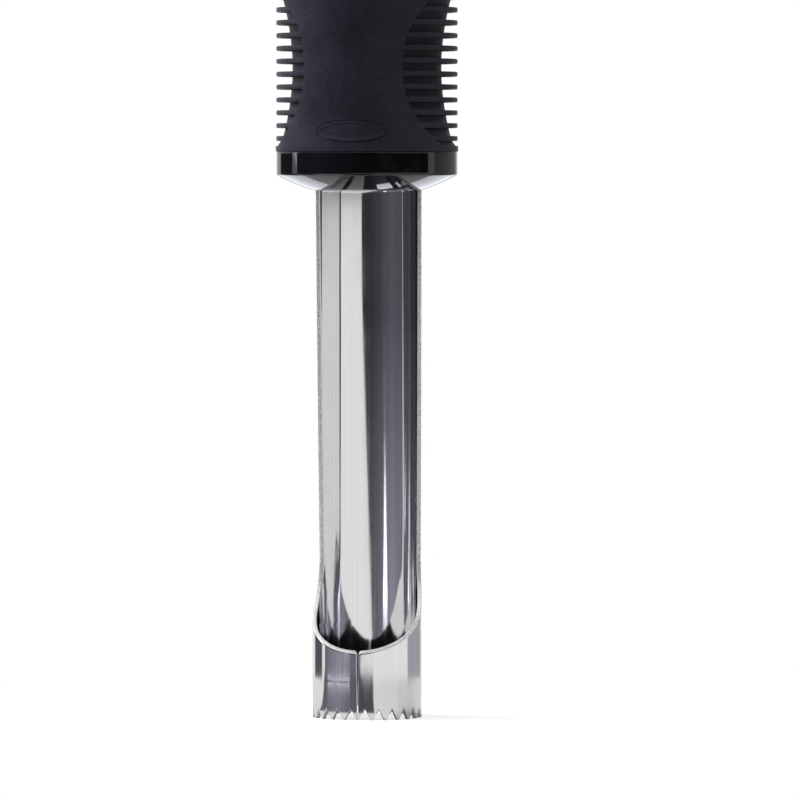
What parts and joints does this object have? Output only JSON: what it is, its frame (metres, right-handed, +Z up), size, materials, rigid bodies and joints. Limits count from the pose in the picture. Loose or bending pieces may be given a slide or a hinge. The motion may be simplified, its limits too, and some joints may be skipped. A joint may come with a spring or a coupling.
{
  "type": "apple corer",
  "caption": "Hand apple corer: a rolled steel trough ending in a toothed ring, set in a gloss ferrule, with a soft grip that has flexible side fins and a hang hole.",
  "frame": {"origin": "on the blade's axis, at the height of the tooth tips", "axes": "+Z up the blade's axis from the tooth tips to the grip's butt, -Y the open front of the trough, +X through the hang hole and the right-hand fins"},
  "size_m": [0.0344, 0.0347, 0.2306],
  "materials": {
    "stainless_steel": "polished with faint rolling lines",
    "gloss_abs": "gloss moulded",
    "core_plastic": "moulded",
    "pin_steel": "ground",
    "grip_elastomer": "matte moulded elastomer"
  },
  "bodies": {
    "root": {"corer_blade": "stainless_steel", "ferrule": "gloss_abs", "handle_core": "core_plastic", "tang_pins": "pin_steel", "grip_sleeve": "grip_elastomer"}
  },
  "joints": []
}
